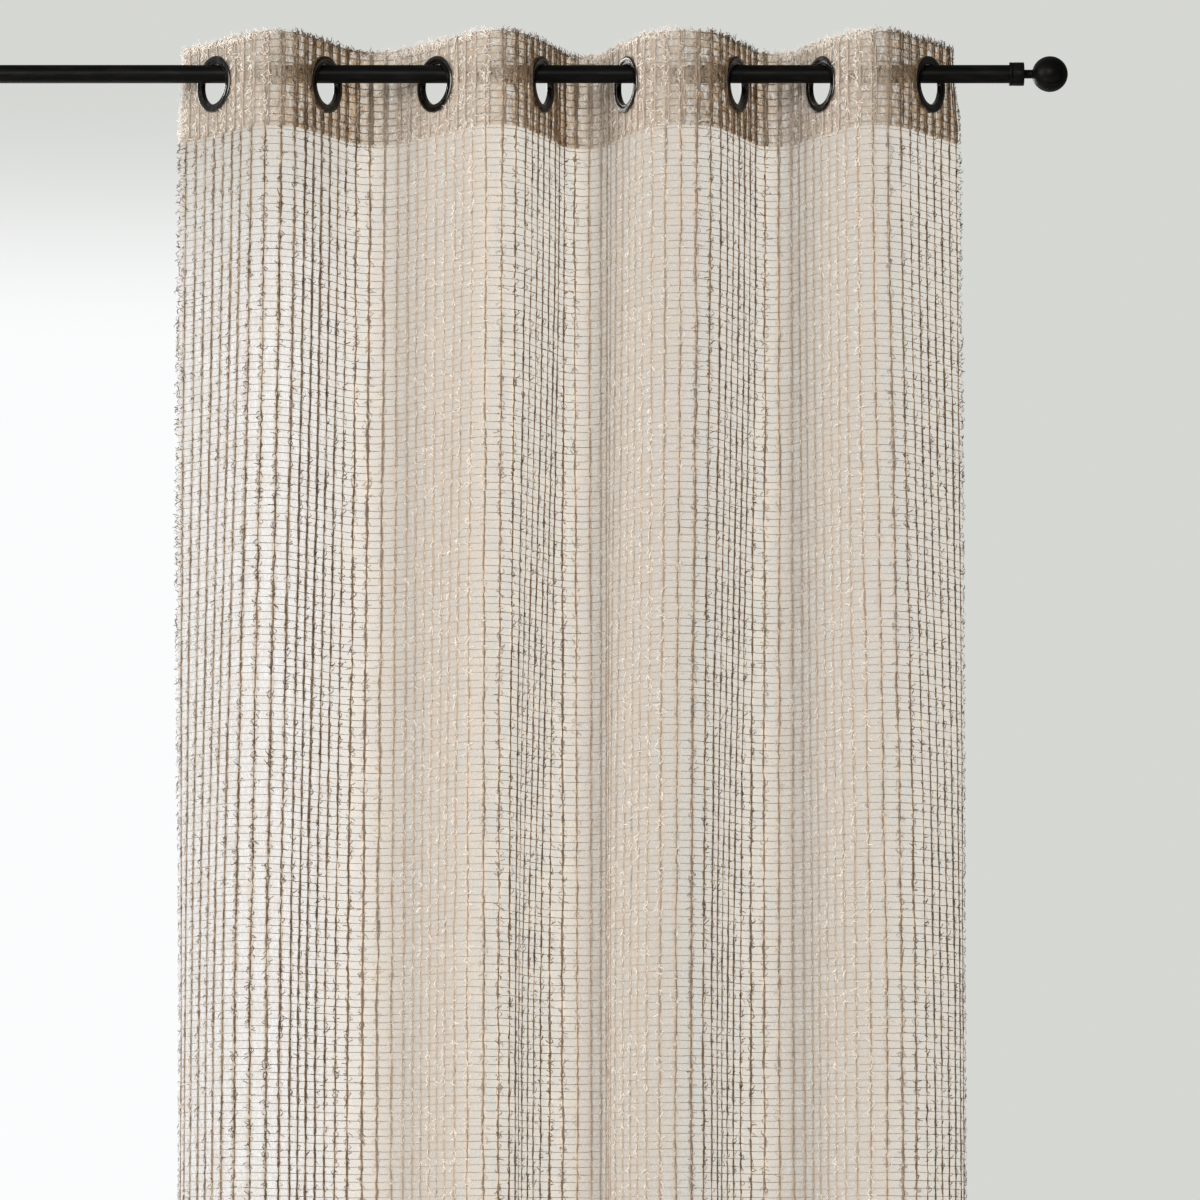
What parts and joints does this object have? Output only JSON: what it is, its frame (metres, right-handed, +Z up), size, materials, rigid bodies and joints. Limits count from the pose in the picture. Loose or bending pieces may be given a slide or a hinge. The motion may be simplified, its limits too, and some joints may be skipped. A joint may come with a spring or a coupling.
{
  "type": "sheer eyelet curtain on a rod",
  "caption": "Open-weave sheer curtain hanging in soft uneven folds from metal eyelets on a round black rod with ball finials.",
  "frame": {"origin": "on the rod's axis, midway between the collars of its two finials", "axes": "+X along the rod to the right as seen from the room, +Y away from the room towards the window, +Z up"},
  "size_m": [1.2958, 0.1587, 2.4001],
  "materials": {
    "voile": "open sheer weave of slubbed beige yarn with a fine haze of loose fibres",
    "heading": "the same weave doubled and stitched down, denser and a little darker",
    "eyelet": "dark gunmetal chrome, pressed and polished",
    "rod": "satin black coating",
    "finial": "satin black coating"
  },
  "bodies": {
    "root": {"panel": "voile", "heading": "heading", "eyelet_1": "eyelet", "eyelet_2": "eyelet", "eyelet_3": "eyelet", "eyelet_4": "eyelet", "eyelet_5": "eyelet", "eyelet_6": "eyelet", "eyelet_7": "eyelet", "eyelet_8": "eyelet", "rod": "rod", "finial_left": "finial", "finial_right": "finial"}
  },
  "joints": []
}
